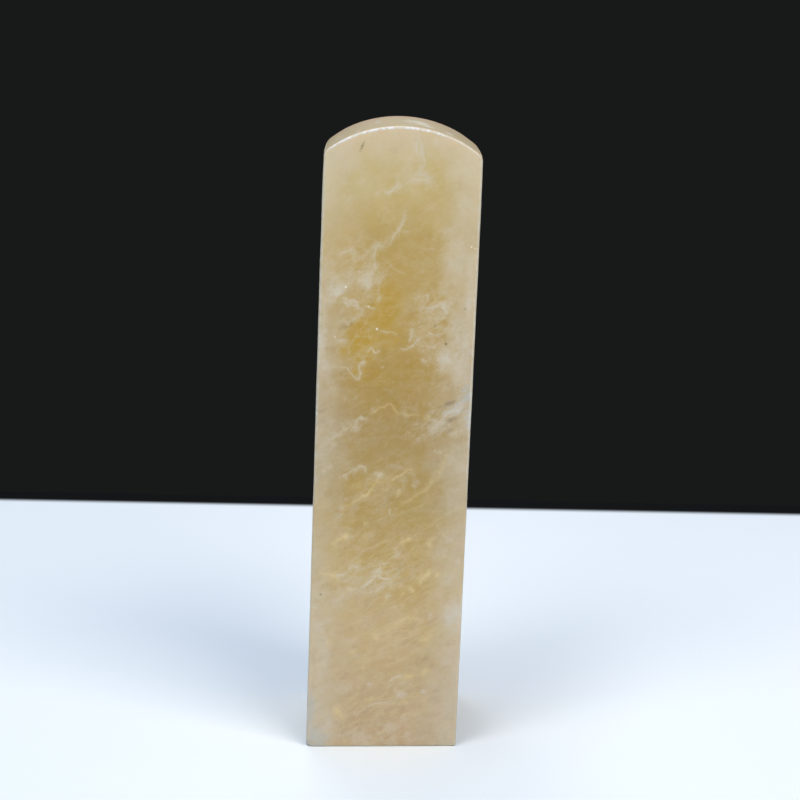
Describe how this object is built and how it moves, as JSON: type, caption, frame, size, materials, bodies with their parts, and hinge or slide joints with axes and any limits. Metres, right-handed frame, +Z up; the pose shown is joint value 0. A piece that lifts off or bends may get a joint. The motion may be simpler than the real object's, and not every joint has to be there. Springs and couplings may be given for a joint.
{
  "type": "seal stone",
  "caption": "Blank seal stamp of polished stone: a square bar with a barrel-arched top, rounded upright edges and a flat ground foot to be carved and inked.",
  "frame": {"origin": "middle of the ground foot, which is the face that would be carved and inked", "axes": "+Z up, square to the foot; -Y out of the front face; +X to the right. The bar itself leans 2.2 degrees from +Z towards +X, because the foot is ground that much off square"},
  "size_m": [0.0287, 0.025, 0.1027],
  "materials": {
    "stone": "waxed and polished, faintly translucent honey-coloured soapstone; the foot is ground matt"
  },
  "bodies": {
    "root": {"seal_stone": "stone"}
  },
  "joints": []
}
